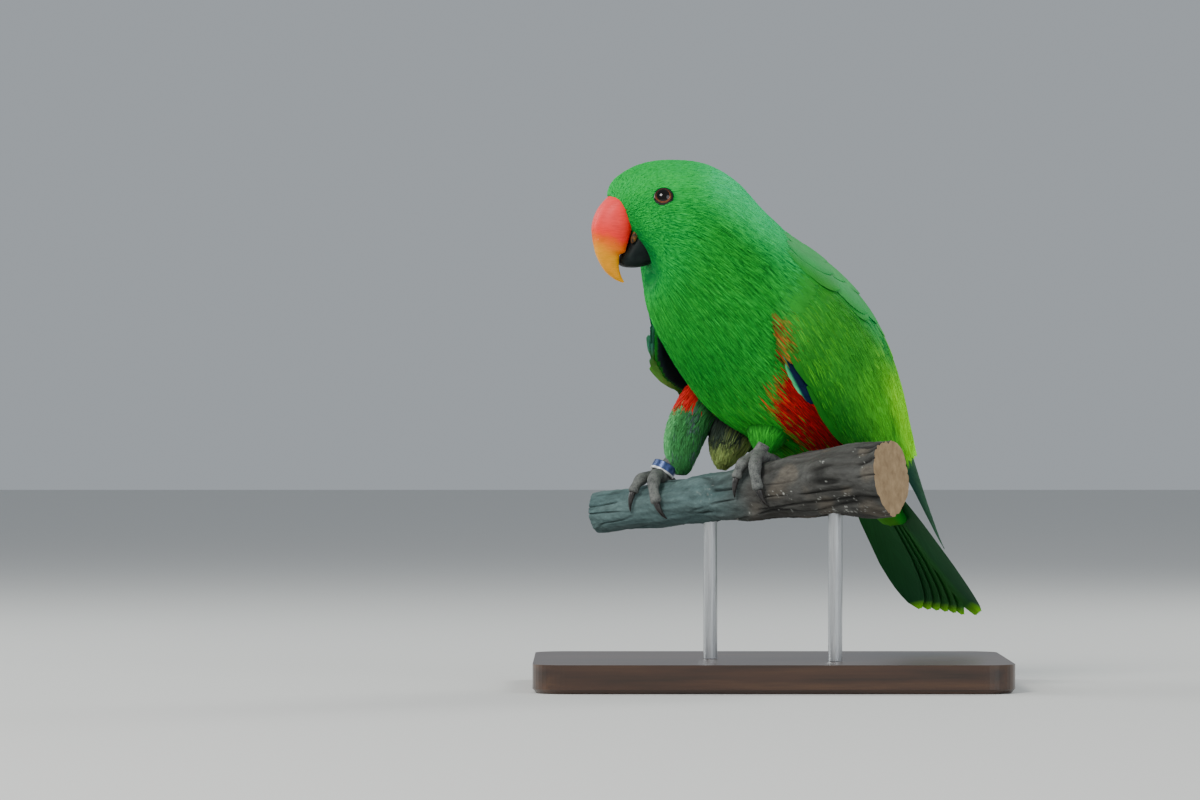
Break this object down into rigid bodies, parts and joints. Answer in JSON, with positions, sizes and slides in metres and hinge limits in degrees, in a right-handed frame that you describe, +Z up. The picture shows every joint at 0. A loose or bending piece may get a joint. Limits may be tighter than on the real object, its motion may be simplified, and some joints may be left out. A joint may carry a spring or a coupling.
{
  "type": "eclectus parrot on a perch stand",
  "caption": "Life-size standing green parrot with folded wings and hooked bill, gripping a short cut branch held by rods on a flat display base.",
  "frame": {"origin": "the middle of the stand base's underside, where it rests on a table", "axes": "+Z up, X along the base's long side; the parrot faces -X and -Y, and the viewer looks along +Y"},
  "size_m": [0.236, 0.1813, 0.2622],
  "materials": {
    "feathers": "soft",
    "flight_feathers": "satin",
    "bill_coral": "satin",
    "bill_black": "satin",
    "eye": "wet",
    "scaly_skin": "matte",
    "claw": "satin",
    "ring": "satin",
    "bark": "rough",
    "rod": "brushed",
    "base": "satin"
  },
  "bodies": {
    "root": {"head": "feathers", "neck": "feathers", "torso": "feathers", "tail": "flight_feathers", "bill_upper": "bill_coral", "bill_lower": "bill_black", "wing_left": "flight_feathers", "wing_right": "flight_feathers", "eye_left": "eye", "eye_right": "eye", "leg_left": "feathers", "leg_right": "feathers", "leg_ring": "ring", "foot_left": "scaly_skin", "foot_right": "scaly_skin", "claw_left_front_inner": "claw", "claw_left_front_outer": "claw", "claw_left_back_inner": "claw", "claw_left_back_outer": "claw", "claw_right_front_inner": "claw", "claw_right_front_outer": "claw", "claw_right_back_inner": "claw", "claw_right_back_outer": "claw", "stand_perch": "bark", "stand_rod_left": "rod", "stand_rod_right": "rod", "stand_base": "base"}
  },
  "joints": []
}
